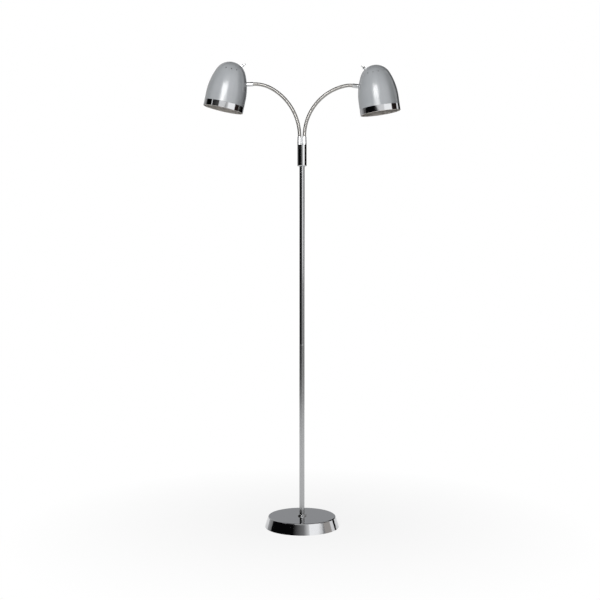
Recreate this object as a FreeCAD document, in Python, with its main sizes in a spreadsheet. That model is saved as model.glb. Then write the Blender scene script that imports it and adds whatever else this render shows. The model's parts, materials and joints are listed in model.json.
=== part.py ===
import FreeCAD, Part
import math
import os

import Sketcher
from FreeCAD import Placement, Rotation, Vector

# Floor lamp with two reading heads on flexible necks.
#
# A weighted round foot carries a two-piece pole. A sleeve at the top of the pole holds two necks
# side by side, and each neck carries an egg-shaped shade with a bright ring at its mouth.
# Millimetres, +Z up, origin at the centre of the foot's underside, front = -Y, left arm = -X.

LEFT, RIGHT = -1, 1
SIDE_NAMES = {LEFT: "left", RIGHT: "right"}

SIZES = {
    # foot
    "base_radius": 115.0,  # cover's rim
    "base_top_radius": 104.0,  # where the sloped side meets the flat top
    "base_height": 34.0,
    "cover_wall": 1.2,
    "cover_lift": 1.0,  # rim above the floor
    "cover_edge_radius": 4.0,
    "pad_radius": 108.0,
    "pad_thickness": 3.0,
    "weight_thickness": 16.0,
    "weight_boss_radius": 24.0,
    "casting_gap": 0.3,
    "recess_radius": 22.0,
    "recess_depth": 10.0,
    "channel_width": 10.0,
    "channel_height": 10.0,
    "bush_radius": 4.7,
    "bush_bore": 3.4,
    "bush_length": 28.0,
    "bush_reach": 1.5,  # how far it stands out of the cover
    # threaded rods and their nuts, drawn at the thread's outside
    "rod_radius": 5.0,
    "rod_bore": 3.6,
    "rod_end": 1.5,  # thread past a nut
    "nut_flats": 14.0,
    "nut_height": 5.0,
    "washer_radius": 14.0,
    "washer_thickness": 1.5,
    "collar_radius": 13.5,
    "collar_height": 4.5,
    "collar_bevel": 0.8,
    "collar_seat": 2.5,  # depth of the pole's seat in the collar
    # pole
    "pole_radius": 8.0,
    "pole_wall": 1.0,
    "pole_joint_height": 567.0,
    "pole_top_height": 1115.5,
    "ring_radius": 8.25,
    "ring_thickness": 1.2,
    "plug_length": 16.0,
    # sleeve at the top of the pole
    "sleeve_radius": 14.3,
    "sleeve_length": 66.0,
    "sleeve_wall": 1.2,
    "sleeve_floor": 3.0,
    "sleeve_edge_radius": 2.5,
    "cap_flange": 1.2,
    "cap_depth": 4.0,
    # neck fittings
    "neck_spacing": 14.6,
    "ferrule_radius": 7.0,
    "ferrule_top_radius": 6.3,
    "ferrule_length": 24.5,
    "tail_radius": 3.6,  # threaded tail of a neck fitting
    "tail_nut_flats": 10.4,
    "tail_nut_height": 4.0,
    "root_depth": 15.0,  # neck inside each fitting
    "head_ferrule_radius": 6.6,
    "head_ferrule_length": 19.0,
    # flexible necks
    "neck_length": 236.0,  # free length between the two fittings
    "crest_radius": 5.35,
    "valley_radius": 4.75,
    "valley_width": 1.6,
    "rib_flank": 0.7,
    "wire_bore": 2.6,
    "root_radius": 4.6,
    "ball_radius": 3.85,
    "ball_clearance": 0.3,
    "left_lower_radius": 167.0,
    "left_lower_angle": 60.5,
    "left_upper_angle": 32.5,
    "right_lower_radius": 157.0,
    "right_lower_angle": 78.0,
    "right_upper_angle": 19.0,
    # shade, measured up its own axis from the mouth
    "shade_radius": 61.5,
    "shade_height": 147.0,
    "crown_radius": 49.0,
    "flank_height": 41.0,  # where the straight skirt starts to curve in
    "shade_wall": 1.2,
    "band_height": 19.0,
    "band_spigot": 8.0,
    "band_edge_radius": 1.0,
    "arm_height": 90.0,
    "vent_radius": 1.5,
    "vent_polar_angle": 62.0,
    "vent_step_angle": 22.0,
    "left_vent_angle": -4.0,
    "right_vent_angle": 12.0,
    # inside the shade
    "bracket_rise": 14.0,  # level end above the neck's entry
    "bracket_strip": 1.5,
    "bracket_width": 14.0,
    "bracket_seat": 1.4,  # air between the round wall and the flat strip
    "bracket_end": 9.0,  # strip past each hole
    "bracket_bend_radius": 2.5,
    "holder_radius": 13.5,
    "holder_skirt_radius": 14.5,
    "holder_length": 38.0,
    "holder_skirt_length": 14.0,
    "holder_shoulder": 6.0,
    "socket_radius": 7.2,
    "socket_depth": 26.0,
    "bulb_cap_length": 24.0,
    "bulb_radius": 22.5,
    "bulb_neck_radius": 12.0,
    "bulb_drop": 27.5,  # holder's mouth to the globe's centre
    # toggle switch on the crown
    "switch_angle": 34.0,
    "switch_width": 13.0,
    "switch_depth": 16.0,
    "switch_shoulder_radius": 5.5,
    "switch_shoulder": 1.5,
    "bushing_radius": 4.2,
    "bushing_height": 8.0,
    "bushing_mouth_radius": 3.4,
    "switch_nut_radius": 5.5,
    "switch_nut_height": 5.5,
    "switch_nut_bevel": 0.6,
    "lever_pivot": 3.0,  # above the shade's skin
    "lever_ball_radius": 2.4,
    "lever_radius": 1.2,
    "lever_tip_radius": 1.8,
    "lever_length": 13.0,
    "lever_angle": 13.0,  # each way from the bushing's axis
    # fits
    "seat_gap": 0.05,  # pieces that seat in one another
    "thread_gap": 0.2,  # rods and tails in plain holes
    "running_gap": 0.05,
}

NECK_LINKS = 7
RIBS_PER_LINK = 7
VENTS_PER_GROUP = 3


class Formula:
    """A size with both its spreadsheet formula and its present value."""

    def __init__(self, text, value):
        self.text = text
        self.value = value

    def _join(self, sign, other, value):
        return Formula(f"({self.text} {sign} {as_formula(other).text})", value)

    def __add__(self, other):
        return self._join("+", other, self.value + as_formula(other).value)

    def __sub__(self, other):
        return self._join("-", other, self.value - as_formula(other).value)

    def __mul__(self, other):
        return self._join("*", other, self.value * as_formula(other).value)

    __rmul__ = __mul__

    def __truediv__(self, other):
        return self._join("/", other, self.value / as_formula(other).value)

    def __neg__(self):
        return Formula("0", 0.0) - self


def as_formula(number):
    return number if isinstance(number, Formula) else Formula(repr(float(number)), float(number))


def root(number):
    return Formula(f"sqrt({number.text})", math.sqrt(number.value))


class Sheet:
    """The driving dimensions; each is read as an attribute, such as sizes.base_radius."""

    def __init__(self, doc):
        self.cells = doc.addObject("Spreadsheet::Sheet", "sizes")
        for row, (alias, number) in enumerate(SIZES.items(), start=1):
            self.cells.set(f"A{row}", alias)
            self.cells.set(f"B{row}", str(number))
            self.cells.setAlias(f"B{row}", alias)
        doc.recompute()

    def __getattr__(self, alias):
        return Formula(f"sizes.{alias}", float(self.cells.get(alias)))


doc = FreeCAD.newDocument("reading_lamp")
sizes = Sheet(doc)
pieces = []
ZERO = as_formula(0)


# ---------------------------------------------------------------- general shapes


def new_body(name):
    body = doc.addObject("PartDesign::Body", name)
    body.Label = name
    pieces.append(body)
    return body


def origin_feature(body, role):
    return next(item for item in body.Origin.OriginFeatures if item.Role == role)


def attach(feature, body, plane, offset=Placement()):
    feature.AttachmentSupport = [(origin_feature(body, plane), "")]
    feature.MapMode = "FlatFace"
    feature.AttachmentOffset = offset


def new_sketch(body, plane, name):
    sketch = body.newObject("Sketcher::SketchObject", name)
    attach(sketch, body, plane)
    return sketch


def bind(sketch, kind, *where, size):
    """Add one dimension to a sketch and tie it to its formula."""
    index = sketch.addConstraint(Sketcher.Constraint(kind, *where, size.value))
    sketch.setExpression(f"Constraints[{index}]", size.text)


def pin_point(sketch, curve, end, x, y):
    """Fix one end of a curve at (x, y) of the sketch; the axes are used where a value is zero."""
    if x.value:
        bind(sketch, "DistanceX", -1, 1, curve, end, size=x)
    else:
        sketch.addConstraint(Sketcher.Constraint("PointOnObject", curve, end, -2))
    if y.value:
        bind(sketch, "DistanceY", -1, 1, curve, end, size=y)
    else:
        sketch.addConstraint(Sketcher.Constraint("PointOnObject", curve, end, -1))


def polygon(sketch, corners):
    """A closed outline of straight lines through (x, y) formulas."""
    corners = [(as_formula(x), as_formula(y)) for x, y in corners]
    points = [Vector(x.value, y.value, 0) for x, y in corners]
    first = sketch.GeometryCount
    count = len(points)
    for index in range(count):
        sketch.addGeometry(Part.LineSegment(points[index], points[(index + 1) % count]))
    for index in range(count):
        following = first + (index + 1) % count
        sketch.addConstraint(Sketcher.Constraint("Coincident", first + index, 2, following, 1))
    for index, (x, y) in enumerate(corners):
        pin_point(sketch, first + index, 1, x, y)


def circle(sketch, radius, x=ZERO, y=ZERO):
    curve = sketch.addGeometry(Part.Circle(Vector(x.value, y.value, 0), Vector(0, 0, 1), radius.value))
    pin_point(sketch, curve, 3, x, y)
    bind(sketch, "Radius", curve, size=radius)


def turn(body, sketch, kind="Revolution"):
    feature = body.newObject(f"PartDesign::{kind}", f"{body.Name}_{kind.lower()}")
    feature.Profile = sketch
    feature.ReferenceAxis = (sketch, ["V_Axis"])
    feature.Angle = 360
    return feature


def lathe(name, corners):
    """A piece turned about its own Z axis from (radius, height) corners."""
    body = new_body(name)
    sketch = new_sketch(body, "XZ_Plane", f"{name}_profile")
    polygon(sketch, corners)
    turn(body, sketch)
    return body


def pad(body, sketch, length, midplane=False):
    feature = body.newObject("PartDesign::Pad", f"{body.Name}_pad")
    feature.Profile = sketch
    feature.setExpression("Length", length.text)
    feature.Midplane = midplane
    return feature


def tube(name, outer, inner, length):
    body = new_body(name)
    sketch = new_sketch(body, "XY_Plane", f"{name}_ring")
    circle(sketch, outer)
    circle(sketch, inner)
    pad(body, sketch, length)
    return body


def hex_nut(name, flats, bore, height):
    body = new_body(name)
    sketch = new_sketch(body, "XY_Plane", f"{name}_hexagon")
    half = flats / 2
    corner = flats / math.sqrt(3)
    polygon(sketch, [
        (half, -corner / 2), (half, corner / 2), (ZERO, corner),
        (-half, corner / 2), (-half, -corner / 2), (ZERO, -corner),
    ])
    circle(sketch, bore)
    pad(body, sketch, height)
    return body


def drill(body, radius, length, frame, name):
    """Cut a round hole that runs from the frame's origin along its Z axis."""
    hole = body.newObject("PartDesign::SubtractiveCylinder", f"{body.Name}_{name}")
    hole.setExpression("Radius", radius.text)
    hole.setExpression("Height", length.text)
    attach(hole, body, "XY_Plane", frame)
    return hole


def round_edges(body, radius, chosen, name):
    """Fillet the edges of the body's present shape for which chosen(edge) is true."""
    doc.recompute()
    tip = body.Tip
    names = [f"Edge{number}" for number, edge in enumerate(tip.Shape.Edges, start=1) if chosen(edge)]
    fillet = body.newObject("PartDesign::Fillet", f"{body.Name}_{name}")
    fillet.Base = (tip, names)
    fillet.setExpression("Radius", radius.text)
    return fillet


def ring_edge(radius, height):
    """A test for the circular edge of this radius, centred on the Z axis at this height."""

    def chosen(edge):
        round_one = hasattr(edge.Curve, "Radius") and abs(edge.Curve.Radius - radius.value) < 0.01
        return round_one and abs(edge.Curve.Center.z - height.value) < 0.01

    return chosen


def lift(body, height):
    body.setExpression("Placement.Base.z", height.text)


# ---------------------------------------------------------------- foot


def cone_radius(height):
    """Radius of the cover's sloped side at a height above the floor."""
    slope = (sizes.base_radius - sizes.base_top_radius) / (sizes.base_height - sizes.cover_lift)
    return sizes.base_radius - (height - sizes.cover_lift) * slope


def cut_to_rear(body, sketch):
    """Cut a sketch of the XZ plane through everything behind it."""
    doc.recompute()
    before = body.Shape.Volume
    cut = body.newObject("PartDesign::Pocket", f"{sketch.Name}_cut")
    cut.Profile = sketch
    cut.Type = "ThroughAll"
    doc.recompute()
    if body.Shape.Volume > before - 1:
        raise RuntimeError(f"{sketch.Name} cuts nothing")


def bush_height():
    return sizes.pad_thickness + sizes.seat_gap + sizes.bush_radius


def make_cover():
    """Pressed, plated cover: sloped side, flat top, rolled edge and an arch for the cord bush."""
    under = sizes.base_height - sizes.cover_wall
    hole = sizes.rod_radius + sizes.thread_gap
    body = lathe("base_cover", [
        (sizes.base_radius, sizes.cover_lift),
        (sizes.base_top_radius, sizes.base_height),
        (hole, sizes.base_height),
        (hole, under),
        (cone_radius(under) - sizes.cover_wall, under),
        (sizes.base_radius - sizes.cover_wall, sizes.cover_lift),
    ])
    round_edges(body, sizes.cover_edge_radius, ring_edge(sizes.base_top_radius, sizes.base_height), "edge")
    inner = ring_edge(cone_radius(under) - sizes.cover_wall, under)
    round_edges(body, sizes.cover_edge_radius - sizes.cover_wall, inner, "inner_edge")
    half = sizes.bush_radius + sizes.seat_gap
    arch = new_sketch(body, "XZ_Plane", "base_cover_arch")
    circle(arch, half, y=bush_height())
    cut_to_rear(body, arch)
    gate = new_sketch(body, "XZ_Plane", "base_cover_gate")
    polygon(gate, [(-half, ZERO), (half, ZERO), (half, bush_height()), (-half, bush_height())])
    cut_to_rear(body, gate)


def make_weight():
    """Cast-iron disc under the cover, with a boss for the rod and a channel for the cord."""
    floor = sizes.pad_thickness
    top = floor + sizes.weight_thickness
    boss_top = sizes.base_height - sizes.cover_wall
    recess = floor + sizes.recess_depth
    room = sizes.cover_wall + sizes.casting_gap
    hole = sizes.rod_radius + sizes.thread_gap
    body = lathe("base_weight", [
        (sizes.recess_radius, floor),
        (cone_radius(floor) - room, floor),
        (cone_radius(top) - room, top),
        (sizes.weight_boss_radius, top),
        (sizes.weight_boss_radius, boss_top),
        (hole, boss_top),
        (hole, recess),
        (sizes.recess_radius, recess),
    ])
    channel = new_sketch(body, "XZ_Plane", "base_weight_channel")
    half = sizes.channel_width / 2
    ceiling = floor + sizes.channel_height
    polygon(channel, [(-half, floor), (half, floor), (half, ceiling), (-half, ceiling)])
    cut_to_rear(body, channel)


def make_foot():
    make_cover()
    make_weight()
    under = new_body("base_pad")
    disc = new_sketch(under, "XY_Plane", "base_pad_disc")
    circle(disc, sizes.pad_radius)
    pad(under, disc, sizes.pad_thickness)
    bush = tube("cord_bush", sizes.bush_radius, sizes.bush_bore, sizes.bush_length)
    mouth = cone_radius(bush_height()) + sizes.bush_reach
    bush.Placement = Placement(Vector(0, mouth.value, bush_height().value), Rotation(Vector(1, 0, 0), 90))


# ---------------------------------------------------------------- pole and sleeve


def pole_foot():
    return sizes.base_height + sizes.collar_height - sizes.collar_seat


def tube_bore():
    return sizes.pole_radius - sizes.pole_wall


def neck_foot():
    return sizes.pole_top_height + sizes.sleeve_length


def clamp_ends():
    """The hollow rods, washer and nuts that pull the foot and the sleeve against the pole."""
    hole = sizes.rod_radius + sizes.seat_gap
    ceiling = sizes.pad_thickness + sizes.recess_depth
    washer_height = ceiling - sizes.washer_thickness
    nut_height = washer_height - sizes.nut_height
    rod_foot = nut_height - sizes.rod_end
    lift(tube("base_washer", sizes.washer_radius, hole, sizes.washer_thickness), washer_height)
    lift(hex_nut("base_nut", sizes.nut_flats, hole, sizes.nut_height), nut_height)
    length = pole_foot() + sizes.plug_length - rod_foot
    lift(tube("base_rod", sizes.rod_radius, sizes.rod_bore, length), rod_foot)
    plug = tube_bore() - sizes.seat_gap
    lift(tube("foot_insert", plug, hole, sizes.plug_length), pole_foot())
    lift(tube("top_insert", plug, hole, sizes.plug_length), sizes.pole_top_height - sizes.plug_length)
    floor = sizes.pole_top_height + sizes.sleeve_floor
    lift(hex_nut("sleeve_nut", sizes.nut_flats, hole, sizes.nut_height), floor)
    length = sizes.plug_length + sizes.sleeve_floor + sizes.nut_height + sizes.rod_end
    rod = tube("sleeve_rod", sizes.rod_radius, sizes.rod_bore, length)
    lift(rod, sizes.pole_top_height - sizes.plug_length)


def make_pole():
    """Foot collar, two tubes and the plug that joins them, whose rim shows as a thin ring."""
    hole = sizes.rod_radius + sizes.thread_gap
    seat = sizes.pole_radius + sizes.seat_gap
    seat_floor = sizes.collar_height - sizes.collar_seat
    collar = lathe("foot_collar", [
        (hole, ZERO),
        (sizes.collar_radius, ZERO),
        (sizes.collar_radius, sizes.collar_height - sizes.collar_bevel),
        (sizes.collar_radius - sizes.collar_bevel, sizes.collar_height),
        (seat, sizes.collar_height),
        (seat, seat_floor),
        (hole, seat_floor),
    ])
    lift(collar, sizes.base_height)
    half_ring = sizes.ring_thickness / 2
    reach = half_ring + sizes.plug_length
    plug = tube_bore() - sizes.seat_gap
    coupler = lathe("pole_coupler", [
        (sizes.rod_bore, -reach), (plug, -reach), (plug, -half_ring), (sizes.ring_radius, -half_ring),
        (sizes.ring_radius, half_ring), (plug, half_ring), (plug, reach), (sizes.rod_bore, reach),
    ])
    lift(coupler, sizes.pole_joint_height)
    lower_length = sizes.pole_joint_height - half_ring - pole_foot()
    lift(tube("lower_pole", sizes.pole_radius, tube_bore(), lower_length), pole_foot())
    upper_foot = sizes.pole_joint_height + half_ring
    upper_length = sizes.pole_top_height - upper_foot
    lift(tube("upper_pole", sizes.pole_radius, tube_bore(), upper_length), upper_foot)


def make_sleeve():
    """Turned sleeve on the pole's end, closed by a plated cap that takes both necks."""
    hole = sizes.rod_radius + sizes.thread_gap
    bore = sizes.sleeve_radius - sizes.sleeve_wall
    rim = sizes.sleeve_length - sizes.cap_flange
    sleeve = lathe("junction_sleeve", [
        (hole, ZERO), (sizes.sleeve_radius, ZERO), (sizes.sleeve_radius, rim),
        (bore, rim), (bore, sizes.sleeve_floor), (hole, sizes.sleeve_floor),
    ])
    round_edges(sleeve, sizes.sleeve_edge_radius, ring_edge(sizes.sleeve_radius, ZERO), "edge")
    lift(sleeve, sizes.pole_top_height)
    plug = bore - sizes.seat_gap
    cap = lathe("sleeve_cap", [
        (ZERO, -sizes.cap_depth), (plug, -sizes.cap_depth), (plug, ZERO),
        (sizes.sleeve_radius, ZERO), (sizes.sleeve_radius, sizes.cap_flange), (ZERO, sizes.cap_flange),
    ])
    thickness = sizes.cap_depth + sizes.cap_flange
    for side, name in SIDE_NAMES.items():
        spot = Vector(side * sizes.neck_spacing.value / 2, 0, -sizes.cap_depth.value)
        drill(cap, sizes.tail_radius + sizes.thread_gap, thickness, Placement(spot, Rotation()), f"{name}_hole")
    lift(cap, sizes.pole_top_height + rim)


# ---------------------------------------------------------------- flexible necks


class Neck:
    """Centre line of one neck: a long lower arc that runs on into a shorter upper one."""

    def __init__(self, side):
        self.side = side
        self.name = SIDE_NAMES[side]
        self.length = sizes.neck_length.value
        self.radius = getattr(sizes, f"{self.name}_lower_radius").value
        self.sweep = math.radians(getattr(sizes, f"{self.name}_lower_angle").value)
        self.upper_sweep = math.radians(getattr(sizes, f"{self.name}_upper_angle").value)
        self.lower_length = self.radius * self.sweep
        self.upper_radius = (self.length - self.lower_length) / self.upper_sweep

    def heading(self, distance):
        """Angle from straight up, growing outwards, in radians."""
        distance = min(max(distance, 0), self.length)
        if distance <= self.lower_length:
            return distance / self.radius
        return self.sweep + (distance - self.lower_length) / self.upper_radius

    def frame(self, distance):
        """Placement on the centre line: Z runs along the neck and X is always the lamp's +Y."""
        out = sizes.neck_spacing.value / 2
        up = (neck_foot() + sizes.ferrule_length).value
        on_neck = min(max(distance, 0), self.length)
        lower = min(on_neck, self.lower_length) / self.radius
        out += self.radius * (1 - math.cos(lower))
        up += self.radius * math.sin(lower)
        angle = self.heading(on_neck)
        if on_neck > self.lower_length:
            out += self.upper_radius * (math.cos(self.sweep) - math.cos(angle))
            up += self.upper_radius * (math.sin(angle) - math.sin(self.sweep))
        straight = distance - on_neck
        out += straight * math.sin(angle)
        up += straight * math.cos(angle)
        along = Vector(self.side * math.sin(angle), 0, math.cos(angle))
        steady = Vector(0, 1, 0)
        turned = Rotation(steady, along.cross(steady), along, "ZXY")
        return Placement(Vector(self.side * out, 0, up), turned)

    def pivot(self, number):
        """Distance along the neck to one of the ends of its links."""
        return number * self.length / NECK_LINKS


def ring(place, radius):
    edge = Part.makeCircle(radius)
    edge.Placement = place
    return Part.Wire(edge)


def rib_rings(start, length):
    """(distance, radius) of the four circles of each rib of one link."""
    pitch = length / RIBS_PER_LINK
    edge = sizes.valley_width.value / 2
    slope = sizes.rib_flank.value
    valley, crest = sizes.valley_radius.value, sizes.crest_radius.value
    for rib in range(RIBS_PER_LINK):
        foot = start + rib * pitch
        yield foot + edge, valley
        yield foot + edge + slope, crest
        yield foot + pitch - edge - slope, crest
        yield foot + pitch - edge, valley


def make_link(neck, number):
    """One ribbed length of neck, hollow for the wires.

    Its upper end is a hollow ball that turns in the round socket of the next link. The first and
    last links end in the plain roots that the two fittings hold.
    """
    start, end = neck.pivot(number), neck.pivot(number + 1)
    origin = neck.frame(start).inverse()

    def local(distance):
        return origin.multiply(neck.frame(distance))

    def rod(radius, low, high):
        return Part.makeLoft([ring(local(low), radius), ring(local(high), radius)], True, True)

    def ball(radius, distance):
        sphere = Part.makeSphere(radius)
        sphere.Placement = local(distance)
        return sphere

    ball_radius = sizes.ball_radius.value
    socket_radius = ball_radius + sizes.ball_clearance.value
    edge = sizes.valley_width.value / 2
    root_end = sizes.root_depth.value - sizes.seat_gap.value
    shell = Part.makeLoft([ring(local(at), radius) for at, radius in rib_rings(start, end - start)], True, True)
    past_root = sizes.root_depth.value + sizes.ball_radius.value
    stations = (start - past_root, start, (start + end) / 2, end, end + past_root)
    cuts = [Part.makeLoft([ring(local(at), sizes.wire_bore.value) for at in stations], True, True)]
    if number == 0:
        shell = shell.fuse(rod(sizes.root_radius.value, start - root_end, start + edge))
    else:
        cuts += [ball(socket_radius, start), rod(socket_radius, start - edge, start)]
    if number == NECK_LINKS - 1:
        shell = shell.fuse(rod(sizes.root_radius.value, end - edge, end + root_end))
    else:
        shell = shell.fuse(ball(ball_radius, end))
    link = doc.addObject("Part::Feature", f"{neck.name}_neck_link_{number + 1}")
    link.Label = link.Name
    link.Shape = shell.cut(cuts)
    link.Placement = neck.frame(start)
    pieces.append(link)


def make_neck_fittings(neck):
    """The turned ferrules at both ends of a neck and the nuts on their threaded tails."""
    root = sizes.root_radius + sizes.seat_gap
    through = sizes.cap_flange + sizes.cap_depth
    tail = through + sizes.tail_nut_height + sizes.rod_end
    ferrule = lathe(f"{neck.name}_neck_ferrule", [
        (sizes.wire_bore, -tail),
        (sizes.tail_radius, -tail),
        (sizes.tail_radius, ZERO),
        (sizes.ferrule_radius, ZERO),
        (sizes.ferrule_top_radius, sizes.ferrule_length),
        (root, sizes.ferrule_length),
        (root, sizes.ferrule_length - sizes.root_depth),
        (sizes.wire_bore, sizes.ferrule_length - sizes.root_depth),
    ])
    foot = Vector(neck.side * sizes.neck_spacing.value / 2, 0, neck_foot().value)
    ferrule.Placement = Placement(foot, Rotation())
    bore = sizes.tail_radius + sizes.seat_gap
    nut = hex_nut(f"{neck.name}_ferrule_nut", sizes.tail_nut_flats, bore, sizes.tail_nut_height)
    below = Vector(0, 0, (through + sizes.tail_nut_height).value)
    nut.Placement = Placement(foot - below, Rotation())

    seat = sizes.head_ferrule_length - sizes.seat_gap
    clamped = sizes.shade_wall + sizes.bracket_seat + sizes.bracket_strip
    end = sizes.head_ferrule_length + clamped + sizes.tail_nut_height + sizes.rod_end
    head_ferrule = lathe(f"{neck.name}_head_ferrule", [
        (root, ZERO), (sizes.head_ferrule_radius, ZERO), (sizes.head_ferrule_radius, seat),
        (sizes.tail_radius, seat), (sizes.tail_radius, end), (sizes.wire_bore, end),
        (sizes.wire_bore, sizes.root_depth), (root, sizes.root_depth),
    ])
    mouth = neck.frame(neck.length)
    head_ferrule.Placement = mouth
    nut = hex_nut(f"{neck.name}_head_nut", sizes.tail_nut_flats, bore, sizes.tail_nut_height)
    nut_place = Vector(0, 0, (sizes.head_ferrule_length + clamped).value)
    nut.Placement = mouth.multiply(Placement(nut_place, Rotation()))


# ---------------------------------------------------------------- heads


def flank_radius():
    """Radius of the shade's side arc, tangent to both the straight skirt and the crown."""
    rise = sizes.shade_height - sizes.crown_radius - sizes.flank_height
    skirt, crown = sizes.shade_radius, sizes.crown_radius
    return (skirt * skirt + rise * rise - crown * crown) / (skirt - crown) / 2


def arm_slope():
    """(sine, cosine) of the neck's climb at the shade, where it stands square to the skin."""
    sine = (sizes.arm_height - sizes.flank_height) / flank_radius()
    return sine, root(as_formula(1) - sine * sine)


def arm_entry():
    """Distance from the shade's axis to its skin where the neck enters."""
    return sizes.shade_radius - flank_radius() * (as_formula(1) - arm_slope()[1])


def head_frame(neck):
    """Shade's own frame: origin in the mouth, Z up its axis and X towards the pole."""
    sine, cosine = arm_slope()
    climb = math.atan2(sine.value, cosine.value)
    entry = neck.frame(neck.length + sizes.head_ferrule_length.value)
    tilt = climb - (neck.heading(neck.length) - math.pi / 2)
    inward = Vector(-neck.side * math.cos(tilt), 0, -math.sin(tilt))
    upward = Vector(-neck.side * math.sin(tilt), 0, math.cos(tilt))
    origin = entry.Base - inward * arm_entry().value - upward * sizes.arm_height.value
    return Placement(origin, Rotation(inward, upward.cross(inward), upward, "ZXY"))


def crown_centre():
    return sizes.shade_height - sizes.crown_radius


def crown_direction(polar, azimuth):
    """Frame at the crown's centre whose Z axis points out through the crown."""
    polar, azimuth = math.radians(polar), math.radians(azimuth)
    sine = math.sin(polar)
    outward = Vector(sine * math.cos(azimuth), sine * math.sin(azimuth), math.cos(polar))
    return Placement(Vector(0, 0, crown_centre().value), Rotation(Vector(0, 0, 1), outward))


def egg_profile(sketch, inset, foot):
    """Half outline of the shade: skirt, side arc and crown, drawn in by the inset."""
    skirt = sizes.shade_radius - inset
    crown = sizes.crown_radius - inset
    top = sizes.shade_height - inset
    flank = flank_radius() - inset
    joint = math.atan2((crown_centre() - sizes.flank_height).value, (flank - skirt).value)
    up = Vector(0, 0, 1)
    crown_circle = Part.Circle(Vector(0, crown_centre().value, 0), up, crown.value)
    flank_circle = Part.Circle(Vector((skirt - flank).value, sizes.flank_height.value, 0), up, flank.value)
    skirt_top = Vector(skirt.value, sizes.flank_height.value, 0)
    skirt_foot = Vector(skirt.value, foot.value, 0)
    axis_foot = Vector(0, foot.value, 0)
    sketch.addGeometry(Part.ArcOfCircle(crown_circle, joint, math.pi / 2))
    sketch.addGeometry(Part.ArcOfCircle(flank_circle, 0, joint))
    sketch.addGeometry(Part.LineSegment(skirt_top, skirt_foot))
    sketch.addGeometry(Part.LineSegment(skirt_foot, axis_foot))
    sketch.addGeometry(Part.LineSegment(axis_foot, Vector(0, top.value, 0)))
    for rule in (
        ("Tangent", 0, 1, 1, 2), ("Tangent", 1, 1, 2, 1), ("Coincident", 2, 2, 3, 1),
        ("Coincident", 3, 2, 4, 1), ("Coincident", 4, 2, 0, 2), ("PointOnObject", 0, 3, -2),
        ("PointOnObject", 4, 1, -2), ("PointOnObject", 4, 2, -2), ("Horizontal", 3),
    ):
        sketch.addConstraint(Sketcher.Constraint(*rule))
    bind(sketch, "Radius", 0, size=crown)
    bind(sketch, "DistanceY", -1, 1, 0, 2, size=top)
    bind(sketch, "DistanceX", -1, 1, 2, 1, size=skirt)
    bind(sketch, "DistanceY", -1, 1, 2, 1, size=sizes.flank_height)
    bind(sketch, "DistanceY", -1, 1, 2, 2, size=foot)


def make_shade(neck):
    """Spun shade, open below, with holes for the neck, the switch and two groups of vents."""
    body = new_body(f"{neck.name}_shade")
    outside = new_sketch(body, "XZ_Plane", f"{body.Name}_outside")
    egg_profile(outside, ZERO, sizes.band_height)
    turn(body, outside)
    inside = new_sketch(body, "XZ_Plane", f"{body.Name}_inside")
    egg_profile(inside, sizes.shade_wall, sizes.band_height - sizes.shade_wall)
    turn(body, inside, "Groove")

    sine, cosine = arm_slope()
    skin = Vector(arm_entry().value, 0, sizes.arm_height.value)
    inward = Vector(-cosine.value, 0, -sine.value)
    reach = 5 * sizes.shade_wall
    arm_hole = Placement(skin - inward * reach.value / 2, Rotation(Vector(0, 0, 1), inward))
    drill(body, sizes.tail_radius + sizes.thread_gap, reach, arm_hole, "arm_hole")
    to_skin = sizes.crown_radius + reach
    switch_hole = crown_direction(sizes.switch_angle.value, 0)
    drill(body, sizes.bushing_radius + sizes.thread_gap, to_skin, switch_hole, "switch_hole")
    for face, quarter in (("front", -90), ("rear", 90)):
        step = sizes.vent_step_angle
        centre = quarter - getattr(sizes, f"{neck.name}_vent_angle").value
        first = crown_direction(sizes.vent_polar_angle.value, centre - step.value * (VENTS_PER_GROUP - 1) / 2)
        vent = drill(body, sizes.vent_radius, to_skin, first, f"{face}_vent")
        group = body.newObject("PartDesign::PolarPattern", f"{body.Name}_{face}_vents")
        group.Originals = [vent]
        group.Axis = (origin_feature(body, "Z_Axis"), [""])
        group.setExpression("Angle", (step * (VENTS_PER_GROUP - 1)).text)
        group.Occurrences = VENTS_PER_GROUP
        body.Tip = group
    return body


def make_trim_band(neck):
    """Plated ring that carries the shade's outline down to the mouth and plugs up inside it."""
    spigot = sizes.shade_radius - sizes.shade_wall - sizes.seat_gap
    bore = spigot - sizes.shade_wall
    top = sizes.band_height + sizes.band_spigot
    body = lathe(f"{neck.name}_trim_band", [
        (bore, ZERO), (sizes.shade_radius, ZERO), (sizes.shade_radius, sizes.band_height),
        (spigot, sizes.band_height), (spigot, top), (bore, top),
    ])
    round_edges(body, sizes.band_edge_radius, ring_edge(sizes.shade_radius, ZERO), "edge")
    return body


def bracket_top():
    """Height of the bracket's level end, which the lamp holder hangs from."""
    return sizes.arm_height + sizes.bracket_rise


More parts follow.
